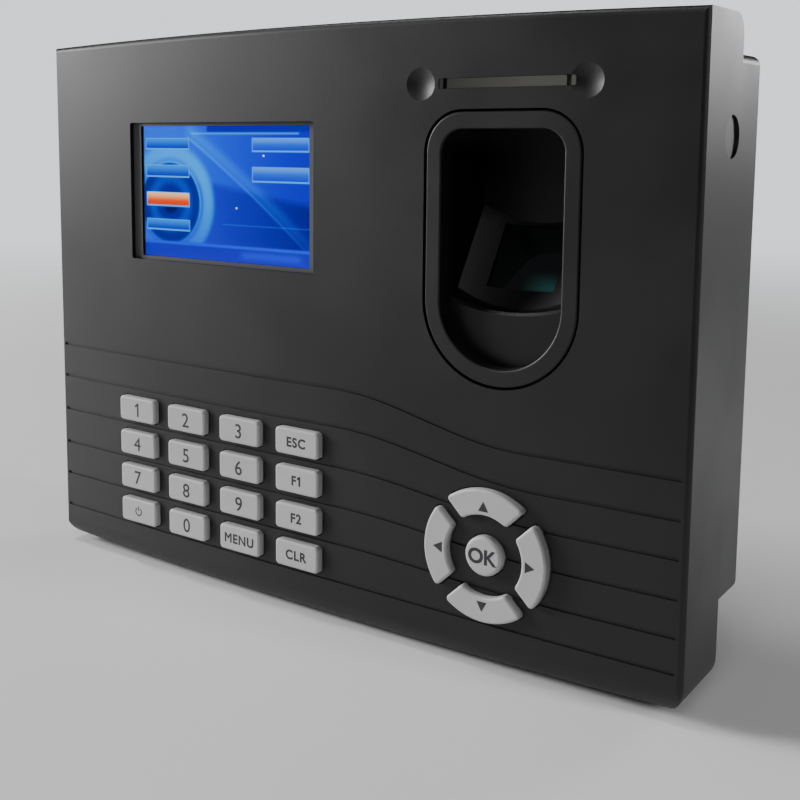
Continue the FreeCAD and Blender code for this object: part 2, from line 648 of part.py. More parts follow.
def sensor_housing():
    x, z = SENSOR_X, sum(HOUSING_Z) / 2
    box = block(*housing_limits(), WELL_BACK, HOUSING_BACK)
    inside = block(*housing_limits(-1.6), WELL_BACK - 1, HOUSING_BACK - 1.6)
    return box.cut([inside, rod(x, z, 5.05, WELL_BACK, HOUSING_BACK + 1)])


def sensor_lens():
    x, z = SENSOR_X, sum(HOUSING_Z) / 2
    return rod(x, z, 5.0, 26.0, HOUSING_BACK).cut(rod(x, z, 3.0, 25, 27))


def sensor_board():
    return board(housing_limits(1.0), HOUSING_BACK)


def sensor_leds():
    x_low, x_high, z_low, z_high = housing_limits(-3.6)
    return Part.makeCompound([rod(x, z, 1.5, 28.0, HOUSING_BACK - 1.6) for x in (x_low, x_high)
                              for z in (z_low, z_high)])


def chips():
    """The main board's larger packages, on its front side."""
    places = [(-46, 18, 9), (-24, 24, 6.5), (-46, -8, 6), (4, 24, 5), (-68, 34, 4), (6, -30, 5.5)]
    return Part.makeCompound([block(x - h, x + h, z - h, z + h, MAIN_DEPTH - 1.4, MAIN_DEPTH)
                              for x, z, h in places])


def cell_holder():
    """A round cup with a floor between the cell and the board."""
    cup = rod(CELL_X, CELL_Z, CELL_R + 1.2, MAIN_DEPTH - CELL_THICK - 1, MAIN_DEPTH)
    return cup.cut(rod(CELL_X, CELL_Z, CELL_R + 0.1, 0, MAIN_DEPTH - 0.8))


def coin_cell():
    return rod(CELL_X, CELL_Z, CELL_R, MAIN_DEPTH - 0.8 - CELL_THICK, MAIN_DEPTH - 0.8)


def network_socket():
    (x0, x1, z0, z1), back = SOCKETS["network_socket"]
    body = block(x0, x1, z0, z1, MAIN_DEPTH + BOARD_THICK, back)
    port = block(x0 + 2.1, x1 - 2.1, z0 + 3.6, z1 - 1.6, back - PORT_DEEP, back + 1)
    latch = block(x0 + 5.0, x1 - 5.0, z0 + 1.4, z0 + 3.7, back - PORT_DEEP, back + 1)
    return body.cut([port, latch])


def power_socket():
    (x0, x1, z0, z1), back = SOCKETS["power_socket"]
    x, z = (x0 + x1) / 2, (z0 + z1) / 2
    body = block(x0, x1, z0, z1, MAIN_DEPTH + BOARD_THICK, back)
    body = body.cut(rod(x, z, JACK_R, back - PLUG_DEEP, back + 1))
    return body.fuse(rod(x, z, JACK_PIN_R, back - PLUG_DEEP, back - 1))


def usb_socket():
    (x0, x1, z0, z1), back = SOCKETS["usb_socket"]
    body = block(x0, x1, z0, z1, MAIN_DEPTH + BOARD_THICK, back)
    body = body.cut(block(*grown((x0, x1, z0, z1), -USB_SHELL), back - PLUG_DEEP, back + 1))
    middle, top = (x0 + x1) / 2, z1 - USB_SHELL
    tongue = block(middle - 5.5, middle + 5.5, top - USB_TONGUE, top, back - PLUG_DEEP, back - 1)
    return body.fuse(tongue)


def terminal_block():
    (x0, x1, z0, z1), back = SOCKETS["terminal_block"]
    body = block(x0, x1, z0, z1, MAIN_DEPTH + BOARD_THICK, back)
    pitch = (x1 - x0) / TERMINAL_COUNT
    slots = []
    for middle in [x0 + pitch * (k + 0.5) for k in range(TERMINAL_COUNT)]:
        wire_way = block(middle - 1.5, middle + 1.5, z0 + 0.8, z0 + 4.0, back - 7, back + 1)
        screw_well = rod(middle, z1 - 2.2, 1.4, back - 4, back + 1)
        slots += [wire_way, screw_well]
    return body.cut(slots)


def square(centre, half):
    x, z = centre
    return (x - half, x + half, z - half, z + half)


def switch_body(centre, tall):
    front = MAIN_DEPTH + BOARD_THICK
    body = block(*square(centre, SWITCH_HALF), front, front + tall)
    return body.cut(rod(*centre, 1.8, front + tall - 3.6, front + tall + 1))


def tamper_plunger():
    return rod(*TAMPER, BUTTON_R, 29.4, DEPTH - PLATE_THICK - 0.1)


def reset_button():
    return rod(*RESET, BUTTON_R, 26.8, 31.5)


def speaker():
    body = rounded_block(SPEAKER, 8.9, 31.6, REAR_FLOOR)
    cone = rounded_block(grown(SPEAKER, -2.0), 6.9, REAR_FLOOR - 1.6, REAR_FLOOR + 1)
    return body.cut(cone)


def antenna():
    """The card reader's coil: a flat board with its middle cut out."""
    plate = rounded_block(ANTENNA, 3.0, 12.0, 13.0)
    return plate.cut(rounded_block(grown(ANTENNA, -9.0), 3.0, 11, 14))


def ribbon(route, x_low, x_high, thick=0.3):
    """A flat cable: straight runs of a (depth, z) route joined by arcs."""
    turns = [Vector(0, y_at(d), z) for d, z in route]
    edges, start = [], turns[0]
    for before, corner, after in zip(turns, turns[1:], turns[2:]):
        into, out = (before - corner), (after - corner)
        half = into.getAngle(out) / 2
        reach = 0.45 * min(into.Length, out.Length)
        into.normalize()
        out.normalize()
        radius = reach * sin(half) / cos(half)
        first, last = corner + into * reach, corner + out * reach
        inward = (into + out).normalize()
        middle = corner + inward * (hypot(reach, radius) - radius)
        edges += [Part.makeLine(start, first), Part.Arc(first, middle, last).toShape()]
        start = last
    edges.append(Part.makeLine(start, turns[-1]))
    path = Part.Wire(edges)
    along = turns[1] - turns[0]
    side = Vector(1, 0, 0).cross(along).normalize() * (thick / 2)
    left, right = Vector(x_low, 0, 0), Vector(x_high, 0, 0)
    corners = [turns[0] + side + left, turns[0] + side + right,
               turns[0] - side + right, turns[0] - side + left]
    section = Part.makePolygon(corners + corners[:1])
    return path.makePipeShell([section], True, True)


def lcd_ribbon():
    return ribbon([(7.8, 14.0), (14.0, 14.0), (16.0, 2.0), (MAIN_DEPTH - 0.1, 2.0)], -38, -20)


def keypad_ribbon():
    start = MAT_DEPTH + MAT_THICK + BOARD_THICK + 0.1
    route = [(start, -40.0), (start + 4, -40.0), (start + 8, -30.0), (MAIN_DEPTH - 0.1, -30.0)]
    return ribbon(route, -34, -24)


def board_screws():
    d = MAIN_DEPTH
    return Part.makeCompound([rod(x, z, 2.4, d - 1.4, d).fuse(rod(x, z, BOARD_SCREW_R, d, d + 7))
                              for x, z in board_holes(MAIN_BOARD)])


def pieces():
    """Every piece by its node's name."""
    mat_back = MAT_DEPTH + MAT_THICK
    keys = {name: keypad_key(x, z) for name, x, z in key_centres()}
    keys.update({name: ring_key(90 * k) for k, name in enumerate(NAV_NAMES)})
    made = {
        "front_cover": front_cover(), "rear_cover": rear_cover(), "wall_plate": wall_plate(),
        "cover_screws": cover_screws(), "plate_lock_screw": plate_lock_screw(),
        **keys, "nav_ok": ok_key(),
        "keypad_mat": mat(KEY_MAT, [(x, z) for _, x, z in key_centres()]),
        "nav_mat": mat(NAV_MAT, nav_centres()),
        "keypad_board": board(KEY_MAT, mat_back),
        "nav_board": board(NAV_MAT, mat_back),
        "keypad_ribbon": keypad_ribbon(),
        "lcd_window": lcd_window(), "lcd_panel": lcd_panel(), "lcd_frame": lcd_frame(),
        "lcd_ribbon": lcd_ribbon(), "light_bar": light_bar(),
        "indicator_leds": indicator_leds(),
        "indicator_board": board(grown(BAR, 2.0), 7.4),
        "sensor_bezel": sensor_bezel(), "sensor_well": sensor_well(),
        "sensor_prism": sensor_prism(), "sensor_housing": sensor_housing(),
        "sensor_lens": sensor_lens(), "sensor_board": sensor_board(),
        "sensor_leds": sensor_leds(),
        "main_board": board(MAIN_BOARD, MAIN_DEPTH, board_holes(MAIN_BOARD), 1.3),
        "main_board_chips": chips(), "cell_holder": cell_holder(), "coin_cell": coin_cell(),
        "card_antenna": antenna(), "speaker": speaker(),
        "network_socket": network_socket(), "power_socket": power_socket(),
        "usb_socket": usb_socket(), "terminal_block": terminal_block(),
        "tamper_switch": switch_body(TAMPER, 5.0), "tamper_plunger": tamper_plunger(),
        "reset_switch": switch_body(RESET, 3.9), "reset_button": reset_button(),
        "board_screws": board_screws(),
    }
    return made


def main():
    os.makedirs("parts", exist_ok=True)
    for name, shape in pieces().items():
        if not shape.isValid():
            print("not valid:", name)
        shape.exportStep(os.path.join("parts", name + ".step"))
        print(f"{name}: {len(shape.Solids)} solid(s), {shape.Volume:.0f} mm3")


main()
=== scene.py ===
import json
import math

import bmesh
import bpy
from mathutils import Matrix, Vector


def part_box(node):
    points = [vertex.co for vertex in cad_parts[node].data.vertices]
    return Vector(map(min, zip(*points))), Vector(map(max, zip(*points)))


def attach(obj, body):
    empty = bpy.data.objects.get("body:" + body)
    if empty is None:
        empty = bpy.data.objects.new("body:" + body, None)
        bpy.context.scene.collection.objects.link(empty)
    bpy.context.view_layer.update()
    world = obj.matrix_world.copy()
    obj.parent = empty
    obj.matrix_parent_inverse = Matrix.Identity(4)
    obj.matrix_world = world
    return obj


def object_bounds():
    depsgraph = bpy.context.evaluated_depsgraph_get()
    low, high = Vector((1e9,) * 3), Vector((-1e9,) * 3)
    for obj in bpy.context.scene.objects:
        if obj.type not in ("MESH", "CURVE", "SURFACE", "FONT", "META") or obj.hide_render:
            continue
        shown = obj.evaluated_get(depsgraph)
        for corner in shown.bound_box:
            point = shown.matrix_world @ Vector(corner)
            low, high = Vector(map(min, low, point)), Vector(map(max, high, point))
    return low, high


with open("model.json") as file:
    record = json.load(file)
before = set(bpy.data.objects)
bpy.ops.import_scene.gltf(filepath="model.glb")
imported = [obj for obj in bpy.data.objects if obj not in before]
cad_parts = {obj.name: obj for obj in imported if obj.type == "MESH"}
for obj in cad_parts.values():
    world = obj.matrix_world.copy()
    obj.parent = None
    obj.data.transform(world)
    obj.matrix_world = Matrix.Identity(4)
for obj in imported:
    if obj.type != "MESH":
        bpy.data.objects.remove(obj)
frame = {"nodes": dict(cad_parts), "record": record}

NODES = frame["nodes"]
CAD_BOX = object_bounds()
MM = 0.001

# Where the camera stands and looks, in the shared frame
CAMERA_PLACE = Vector((162.7, -255.8, 44.8)) * MM
CAMERA_YAW, CAMERA_PITCH = 37.3, 7.2
CAMERA_FOCAL = 1.453                 # focal length over the image's width
CAMERA_SHIFT = (0.115, -0.1475)

# Studio: each light's place, target, size in metres and power in watts
LIGHTS = {
    "sheen_light": ((-1.35, -0.55, 0.42), (-0.05, 0, 0.03), (0.5, 0.6), 34),
    "side_light": ((0.6, 1.7, 0.34), (0.09, 0, 0.06), (0.5, 0.25), 11),
    "top_light": ((-0.45, -0.15, 1.0), (0.04, 0, 0), (0.25, 0.25), 4),
    "edge_light": ((1.2, 0.15, 0.4), (0.09, 0, 0.03), (0.14, 0.4), 4),
    "key_light": ((0.3, -1.0, 0.8), (0, 0, -0.02), (0.5, 0.5), 2.6),
}
BACKDROP, AMBIENT = 1.3, 0.05        # the world's brightness, as the camera sees it and as it lights
FLOOR_SIZE = 12                      # metres
FLOOR_DROP = 0.2 * MM                # how far the floor is below the object
FLOOR_FADE = (0.25, 1.1)             # metres from the origin, between which it fades into the backdrop

# The display's picture and its window
PANEL_MARGIN = 3.9 * MM              # how far the panel reaches past its picture
VIVID, DEEP, GLOW = 1.35, 1.5, 1.4   # saturation, gamma and strength of its light
HEAD_ON, GRAZING = 0.012, 5          # share the window reflects head on, and the power it rises by
SWIRL = (0.166, 0.42)                # the swirl's centre, in shares of the picture
BUTTON_LINE = 0.006                  # width of a button's outline, in shares of the picture

# The print on the keys
INK = 0.015 * MM                     # how far the print stands out from a key
SEAM = 0.004                         # points of the font nearer than this are merged, at a size of 1
DIGIT_TALL, WORD_TALL, OK_TALL = 3.7 * MM, 2.5 * MM, 3.5 * MM
THIN, BOLD = 0.01, 0.036             # how far strokes grow from the plain font, at a size of 1
FLAG_WIDE, FLAG_DROP, STROKE = 0.15, 0.12, 0.09       # the flag of a 1, at a size of 1
ARROW_WIDE, ARROW_LONG = 2.5 * MM, 2.3 * MM
WORDS = {"key_esc": "ESC", "key_f1": "F1", "key_f2": "F2", "key_menu": "MENU", "key_clear": "CLR"}
ARROWS = {"nav_right": 0, "nav_up": 90, "nav_left": 180, "nav_down": 270}


# ---------------------------------------------------------------- node helpers

def srgb(red, green, blue):
    """A display colour, 0 to 255, as the linear colour that shaders use."""
    parts = [c / 255 for c in (red, green, blue)]
    return tuple(c / 12.92 if c < 0.04045 else ((c + 0.055) / 1.055) ** 2.4 for c in parts) + (1,)


class Surface:
    """A material and short calls for building its nodes."""

    def __init__(self, name, **sockets):
        self.material = bpy.data.materials.new(name)
        self.material.use_nodes = True
        self.tree = self.material.node_tree
        self.shader = self.tree.nodes["Principled BSDF"]
        self.output = self.tree.nodes["Material Output"]
        self.bumps = []
        for socket, value in sockets.items():
            self.shader.inputs[socket.replace("_", " ")].default_value = value
        self.place = self.node("ShaderNodeTexCoord").outputs["Object"]

    def node(self, kind, **settings):
        made = self.tree.nodes.new(kind)
        for key, value in settings.items():
            setattr(made, key, value)
        return made

    def feed(self, socket, value):
        """Links the socket to another one, or sets it to a number or colour."""
        if isinstance(value, bpy.types.NodeSocket):
            self.tree.links.new(value, socket)
        else:
            socket.default_value = value

    def set(self, socket, value):
        self.feed(self.shader.inputs[socket], value)

    def math(self, operation, a, b=0.0, c=0.0):
        made = self.node("ShaderNodeMath", operation=operation)
        for socket, value in zip(made.inputs, (a, b, c)):
            self.feed(socket, value)
        return made.outputs[0]

    def axes(self):
        """The place on the surface, as x, y and z in metres."""
        made = self.node("ShaderNodeSeparateXYZ")
        self.feed(made.inputs[0], self.place)
        return made.outputs

    def noise(self, scale, detail=2.0, stretch=(1, 1, 1), roughness=0.5):
        """Smooth noise from 0 to 1. The scale is in features per metre."""
        mapping = self.node("ShaderNodeMapping")
        self.feed(mapping.inputs["Vector"], self.place)
        mapping.inputs["Scale"].default_value = stretch
        made = self.node("ShaderNodeTexNoise")
        self.feed(made.inputs["Vector"], mapping.outputs[0])
        made.inputs["Scale"].default_value = scale
        made.inputs["Detail"].default_value = detail
        made.inputs["Roughness"].default_value = roughness
        return made.outputs["Fac"]

    def ramp(self, value, low, high, to_low=0.0, to_high=1.0, smooth=True):
        """The value, taken from one range to another and held at its ends."""
        made = self.node("ShaderNodeMapRange", clamp=True)
        made.interpolation_type = "SMOOTHSTEP" if smooth else "LINEAR"
        for socket, given in zip(made.inputs, (value, low, high, to_low, to_high)):
            self.feed(socket, given)
        return made.outputs[0]

    def band(self, value, low, high, soft):
        """1 where the value is between low and high, with soft ends."""
        rise = self.ramp(value, low - soft, low + soft)
        fall = self.ramp(value, high + soft, high - soft)
        return self.math("MULTIPLY", rise, fall)

    def patch(self, x, y, limits, soft):
        """1 inside a rectangle with soft edges."""
        across = self.band(x, limits[0], limits[1], soft)
        return self.math("MULTIPLY", across, self.band(y, limits[2], limits[3], soft))

    def shade(self, kind, **sockets):
        """Another shader, for mixing with the main one."""
        made = self.node(kind)
        for socket, value in sockets.items():
            self.feed(made.inputs[socket], value)
        return made.outputs[0]

    def blend(self, share, a, b):
        """Mixes two shaders."""
        made = self.node("ShaderNodeMixShader")
        for socket, value in zip(made.inputs, (share, a, b)):
            self.feed(socket, value)
        return made.outputs[0]

    def show(self, shader):
        """Makes this shader the material's surface."""
        self.feed(self.output.inputs["Surface"], shader)

    def mix(self, share, a, b):
        """Mixes two colours."""
        made = self.node("ShaderNodeMix", data_type="RGBA")
        for socket, value in zip((made.inputs[0], made.inputs[6], made.inputs[7]), (share, a, b)):
            self.feed(socket, value)
        return made.outputs[2]

    def bump(self, height, depth, strength=1.0):
        """Adds relief of this depth, in metres, over any added before."""
        made = self.node("ShaderNodeBump")
        self.feed(made.inputs["Height"], height)
        made.inputs["Distance"].default_value = depth
        made.inputs["Strength"].default_value = strength
        if self.bumps:
            self.feed(made.inputs["Normal"], self.bumps[-1])
        self.bumps.append(made.outputs[0])
        self.set("Normal", made.outputs[0])


# ---------------------------------------------------------------- materials

def moulded(name, colour, roughness, grain=2600, depth=14e-6, spread=0.08, tint=0.25):
    """Moulded plastic: a spark-eroded grain, with cloudy gloss and colour."""
    made = Surface(name, Specular_IOR_Level=0.38)
    cloud = made.noise(34, 3)
    darker = tuple(c * (1 - tint) for c in colour[:3]) + (1,)
    lighter = tuple(min(1, c * (1 + tint)) for c in colour[:3]) + (1,)
    made.set("Base Color", made.mix(made.ramp(cloud, 0.3, 0.7), darker, lighter))
    fine = made.noise(grain, 2)
    gloss = made.ramp(cloud, 0.25, 0.75, roughness - spread / 2, roughness + spread / 2)
    made.set("Roughness", made.math("ADD", gloss, made.math("MULTIPLY", fine, 0.06)))
    made.bump(fine, depth)
    return made.material


def metal(name, colour, roughness, stretch=(1, 1, 40), depth=3e-6):
    """Metal with fine lines across the stretched axis, and faint stains."""
    made = Surface(name, Metallic=1.0)
    stain = made.noise(60, 4)
    darker = tuple(c * 0.78 for c in colour[:3]) + (1,)
    made.set("Base Color", made.mix(made.ramp(stain, 0.35, 0.75), darker, colour))
    lines = made.noise(120, 5, stretch, 0.65)
    made.set("Roughness", made.ramp(lines, 0.2, 0.8, roughness - 0.09, roughness + 0.09))
    made.bump(lines, depth)
    return made.material


def circuit_board():
    """Green solder mask over a web of tracks, with tinned pads."""
    made = Surface("circuit_board", Roughness=0.38)
    tracks = made.node("ShaderNodeTexBrick", offset=0.37, squash=0.6)
    turn = made.node("ShaderNodeMapping")
    made.feed(turn.inputs["Vector"], made.place)
    turn.inputs["Rotation"].default_value = (math.radians(90), 0, 0)
    made.feed(tracks.inputs["Vector"], turn.outputs[0])
    for socket, value in {"Scale": 260, "Mortar Size": 0.05, "Mortar Smooth": 0.2,
                          "Color1": (0, 0, 0, 1), "Color2": (0, 0, 0, 1), "Mortar": (1, 1, 1, 1)}.items():
        tracks.inputs[socket].default_value = value
    pads = made.node("ShaderNodeTexVoronoi")
    made.feed(pads.inputs["Vector"], made.place)
    pads.inputs["Scale"].default_value = 210
    dot = made.ramp(pads.outputs["Distance"], 0.16, 0.12)
    mask = made.mix(made.noise(90, 3), srgb(18, 84, 48), srgb(24, 100, 58))
    tracked = made.mix(tracks.outputs["Color"], mask, srgb(44, 132, 76))
    made.set("Base Color", made.mix(dot, tracked, srgb(190, 190, 184)))
    made.set("Metallic", dot)
    made.bump(tracks.outputs["Fac"], 25e-6, 0.5)
    return made.material


def ribbon_film():
    """Amber film over copper tracks that run along it."""
    made = Surface("ribbon_film", Roughness=0.3, Coat_Weight=0.4)
    wave = made.math("SINE", made.math("MULTIPLY", made.axes()[0], 2 * math.pi / (1.0 * MM)))
    track = made.ramp(wave, -0.1, 0.2)
    film = made.mix(made.noise(70, 2), srgb(176, 112, 44), srgb(196, 130, 58))
    made.set("Base Color", made.mix(track, film, srgb(140, 76, 30)))
    made.bump(track, 20e-6, 0.6)
    return made.material


def picture_limits():
    """The display's picture: x and z limits, in metres."""
    low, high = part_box("lcd_panel")
    return (low.x + PANEL_MARGIN, high.x - PANEL_MARGIN, low.z + PANEL_MARGIN, high.z - PANEL_MARGIN)


def window_glass():
    """Clear acrylic, printed dark grey all round the picture."""
    made = Surface("window_glass", Roughness=0.36, Specular_IOR_Level=0.5)
    x, _, z = made.axes()
    made.set("Base Color", made.mix(made.noise(60, 2), srgb(74, 74, 76), srgb(82, 82, 84)))
    haze = made.ramp(made.noise(45, 4), 0.3, 0.8, 0.04, 0.09)
    glance = made.node("ShaderNodeLayerWeight")
    glance.inputs["Blend"].default_value = 0.5
    grazing = made.math("POWER", glance.outputs["Facing"], GRAZING)
    gloss = made.shade("ShaderNodeBsdfGlossy", Roughness=haze)
    clear = made.shade("ShaderNodeBsdfTransparent")
    pane = made.blend(made.ramp(grazing, 0, 1, HEAD_ON, 1.0, smooth=False), clear, gloss)
    printed = made.shader.outputs[0]
    made.show(made.blend(made.patch(x, z, picture_limits(), 0.05 * MM), printed, pane))
    return made.material


class Picture(Surface):
    """The menu picture on the display, painted in layers from back to front."""

    def __init__(self):
        super().__init__("display_panel", Roughness=0.1, Specular_IOR_Level=0.2)
        self.left, right, self.low, high = picture_limits()
        self.wide, self.tall = right - self.left, high - self.low
        x, _, z = self.axes()
        self.x, self.z = self.math("SUBTRACT", x, self.left), self.math("SUBTRACT", z, self.low)
        self.u = self.math("DIVIDE", self.x, self.wide)
        self.v = self.math("DIVIDE", self.z, self.tall)

    def paint(self, share, colour, strength=1.0):
        share = self.math("MULTIPLY", share, strength)
        self.colour = self.mix(share, self.colour, colour)

    def sky(self):
        """The ground colour: light blue above and deep blue below, darker to the right."""
        rightwards = self.ramp(self.u, 0.2, 1.0, smooth=False)
        tilt = self.math("ADD", self.v, self.math("MULTIPLY", self.u, 0.25))
        upper = self.mix(rightwards, srgb(66, 138, 244), srgb(82, 78, 208))
        lower = self.mix(rightwards, srgb(48, 92, 228), srgb(30, 26, 158))
        self.colour = self.mix(self.ramp(tilt, 0.64, 0.72), lower, upper)

    def swirl(self):
        """A dark disc with a bright ring and a pale halo."""
        dx = self.math("SUBTRACT", self.x, SWIRL[0] * self.wide)
        dz = self.math("SUBTRACT", self.z, SWIRL[1] * self.tall)
        squares = self.math("ADD", self.math("MULTIPLY", dx, dx), self.math("MULTIPLY", dz, dz))
        away = self.math("SQRT", squares)
        turn = self.math("SINE", self.math("ADD", self.math("ARCTAN2", dz, dx), 0.6))
        lit = self.ramp(turn, -1, 1, 0.35, 1.0)
        halo = self.band(away, 11.2 * MM, 15.0 * MM, 1.2 * MM)
        self.paint(halo, srgb(126, 206, 255), self.math("MULTIPLY", lit, 0.85))
        self.paint(self.ramp(away, 10.8 * MM, 10.2 * MM), srgb(22, 60, 168))
        self.paint(self.band(away, 5.0 * MM, 7.6 * MM, 1.0 * MM), srgb(60, 130, 225), 0.5)
        self.paint(self.ramp(away, 3.6 * MM, 2.0 * MM), srgb(14, 34, 110), 0.8)
        self.paint(self.band(away, 10.2 * MM, 10.7 * MM, 0.5 * MM), srgb(160, 218, 255), lit)

    def streak(self):
        """A bright line that falls to the right, with a pale wing over its upper end."""
        along = self.math("SUBTRACT", self.x, 0.29 * self.wide)
        bend = self.math("MULTIPLY", self.math("MULTIPLY", along, along), 2.5)
        fall = self.math("ADD", self.math("MULTIPLY", along, 0.62), bend)
        over = self.math("ADD", self.math("SUBTRACT", self.z, 0.908 * self.tall), fall)
        start = self.ramp(self.u, 0.24, 0.31)
        fade = self.math("MULTIPLY", start, self.ramp(self.u, 0.25, 0.95, 1.0, 0.25, smooth=False))
        wing = self.band(over, 0.4 * MM, 3.6 * MM, 1.6 * MM)
        self.paint(wing, srgb(160, 210, 255), self.math("MULTIPLY", fade, 0.6))
        self.paint(self.band(over, -0.3 * MM, 0.2 * MM, 0.6 * MM), srgb(170, 220, 255), fade)

    def bars(self):
        """The strips along the top and the bottom, and a thin line over the lower one."""
        self.paint(self.patch(self.u, self.v, (0.4, 1.1, 0.955, 1.1), 0.01), srgb(58, 66, 186))
        self.paint(self.patch(self.u, self.v, (0.3, 0.93, 0.935, 0.952), 0.008), srgb(170, 212, 252), 0.7)
        self.paint(self.ramp(self.v, 0.13, 0.115), srgb(58, 70, 204))
        self.paint(self.band(self.v, 0.1, 0.122, 0.008), srgb(128, 158, 248), 0.8)
        self.paint(self.patch(self.u, self.v, (0.6, 0.94, 0.03, 0.08), 0.03), srgb(126, 150, 250), 0.6)
        self.paint(self.patch(self.u, self.v, (0.49, 1.1, 0.27, 0.278), 0.006), srgb(110, 160, 236), 0.6)

    def button(self, limits, top, low):
        """An outlined bar whose fill goes from its low colour to its top one."""
        left, right, bottom, up = limits
        self.paint(self.patch(self.u, self.v, limits, BUTTON_LINE), srgb(164, 206, 252))
        inner = (left + BUTTON_LINE, right - BUTTON_LINE, bottom + 0.014, up - BUTTON_LINE)
        fill = self.mix(self.ramp(self.v, bottom, up), low, top)
        self.paint(self.patch(self.u, self.v, inner, 0.005), fill)

    def buttons(self):
        blue = (srgb(140, 192, 248), srgb(28, 80, 196))
        orange = (srgb(255, 226, 204), srgb(226, 84, 16))
        for bottom, top, colours in ((0.82, 0.912, blue), (0.61, 0.708, blue),
                                     (0.387, 0.50, orange), (0.203, 0.293, blue)):
            self.button((0.01, 0.29, bottom, top), *colours)
        for bottom, top in ((0.81, 0.914), (0.592, 0.706)):
            self.button((0.665, 0.985, bottom, top), srgb(164, 200, 250), srgb(62, 104, 220))

    def sparkles(self):
        for u, v in ((0.574, 0.40), (0.732, 0.785)):
            spot = self.patch(self.u, self.v, (u - 0.005, u + 0.005, v - 0.008, v + 0.008), 0.006)
            self.paint(spot, (1, 1, 1, 1))

    def finished(self):
        """Paints every layer and makes the picture shine."""
        for layer in (self.sky, self.swirl, self.streak, self.bars, self.buttons, self.sparkles):
            layer()
        vivid = self.node("ShaderNodeHueSaturation")
        vivid.inputs["Saturation"].default_value = VIVID
        self.feed(vivid.inputs["Color"], self.colour)
        deep = self.node("ShaderNodeGamma")
        deep.inputs["Gamma"].default_value = DEEP
        self.feed(deep.inputs["Color"], vivid.outputs[0])
        self.set("Base Color", srgb(12, 12, 16))
        self.set("Emission Color", deep.outputs[0])
        self.set("Emission Strength", GLOW)
        return self.material


def light_pipe():
    """Smoked acrylic that lets a little of the light behind it through."""
    made = Surface("light_pipe", Roughness=0.3, IOR=1.49, Coat_Weight=0.3)
    low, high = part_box("light_bar")
    along = made.ramp(made.axes()[0], low.x, (low.x + 2 * high.x) / 3, smooth=False)
    cloud = made.mix(made.noise(240, 3), srgb(40, 40, 38), srgb(50, 50, 47))
    made.set("Base Color", made.mix(along, cloud, srgb(86, 86, 80)))
    made.set("Transmission Weight", 0.12)
    made.bump(made.noise(900, 2), 6e-6)
    return made.material


def led_lens():
    made = Surface("led_lens", Roughness=0.12, IOR=1.5, Coat_Weight=0.5)
    made.set("Base Color", made.mix(made.noise(400, 2), srgb(222, 222, 206), srgb(238, 238, 228)))
    made.set("Transmission Weight", 0.3)
    return made.material


def prism_glass():
    """Coated glass: nearly black, with a painted blue-green glint at its lower right: a reflection
    painted into its colour, which also glows faintly.
    """
    made = Surface("prism_glass", Roughness=0.07, IOR=1.52, Coat_Weight=1.0, Coat_Roughness=0.03)
    low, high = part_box("sensor_prism")
    x, _, z = made.axes()
    # The painted glint: a blue-green reflection painted into the colour at the glass's lower right
    across = made.ramp(x, low.x + 0.45 * (high.x - low.x), high.x - 0.1 * (high.x - low.x))
    foot = made.ramp(z, low.z + 0.34 * (high.z - low.z), low.z + 0.02 * (high.z - low.z))
    painted_glint = made.math("MULTIPLY", across, foot)
    dark = made.mix(made.noise(120, 3), srgb(8, 10, 11), srgb(16, 20, 21))
    made.set("Base Color", made.mix(painted_glint, dark, srgb(40, 86, 84)))
    # A faint painted glow over the painted glint, though the glass is no lamp
    made.set("Emission Color", srgb(40, 96, 92))
    made.set("Emission Strength", made.math("MULTIPLY", painted_glint, 0.1))
    return made.material


def print_ink():
    """Dark pad print, a little uneven."""
    made = Surface("print_ink", Roughness=0.5)
    made.set("Base Color", made.mix(made.noise(1500, 3), srgb(24, 24, 26), srgb(46, 46, 50)))
    return made.material


def build_materials():
    black = srgb(17, 17, 19)
    return {
        "cover_plastic": moulded("cover_plastic", black, 0.44),
        "key_plastic": moulded("key_plastic", srgb(176, 176, 176), 0.42, 3200, 6e-6, 0.05, 0.04),
        "well_plastic": moulded("well_plastic", srgb(12, 12, 13), 0.34, 3000, 5e-6),
        "socket_plastic": moulded("socket_plastic", srgb(26, 26, 27), 0.38, 2400, 6e-6),
        "terminal_plastic": moulded("terminal_plastic", srgb(34, 118, 62), 0.4, 2400, 6e-6, 0.05, 0.08),
        "chip_resin": moulded("chip_resin", srgb(30, 30, 32), 0.6, 2200, 8e-6),
        "button_plastic": moulded("button_plastic", srgb(222, 220, 212), 0.4, 2600, 5e-6, 0.05, 0.03),
        "silicone": moulded("silicone", srgb(170, 170, 172), 0.65, 1800, 6e-6, 0.05, 0.05),
        "plate_steel": metal("plate_steel", srgb(196, 198, 200), 0.36),
        "screw_steel": metal("screw_steel", srgb(186, 186, 184), 0.3, (1, 1, 1)),
        "tin_steel": metal("tin_steel", srgb(200, 200, 196), 0.26, (40, 1, 1)),
        "cell_steel": metal("cell_steel", srgb(214, 214, 212), 0.2, (1, 1, 1)),
        "circuit_board": circuit_board(),
        "ribbon_film": ribbon_film(),
        "window_glass": window_glass(),
        "display_panel": Picture().finished(),
        "light_pipe": light_pipe(),
        "led_lens": led_lens(),
        "prism_glass": prism_glass(),
    }


def dress(materials):
    """Gives each CAD node the material of its slot in the record."""
    for entry in frame["record"]["subparts"]:
        mesh = NODES[entry["node"]].data
        mesh.materials.clear()
        mesh.materials.append(materials[entry["material_slot"]])


# ---------------------------------------------------------------- print on the keys

def key_front(key):
    """The middle of a key's front."""
    low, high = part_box(key)
    return Vector(((low.x + high.x) / 2, low.y, (low.z + high.z) / 2))


def add_print(key, mesh, ink):
    """Puts flat artwork, drawn in its own XY plane, on the front of a key."""
    made = bpy.data.objects.new("print_" + key, mesh)
    made.location = key_front(key)
    made.rotation_euler = (math.radians(90), 0, 0)
    mesh.materials.append(ink)
    bpy.context.scene.collection.objects.link(made)
    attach(made, key)


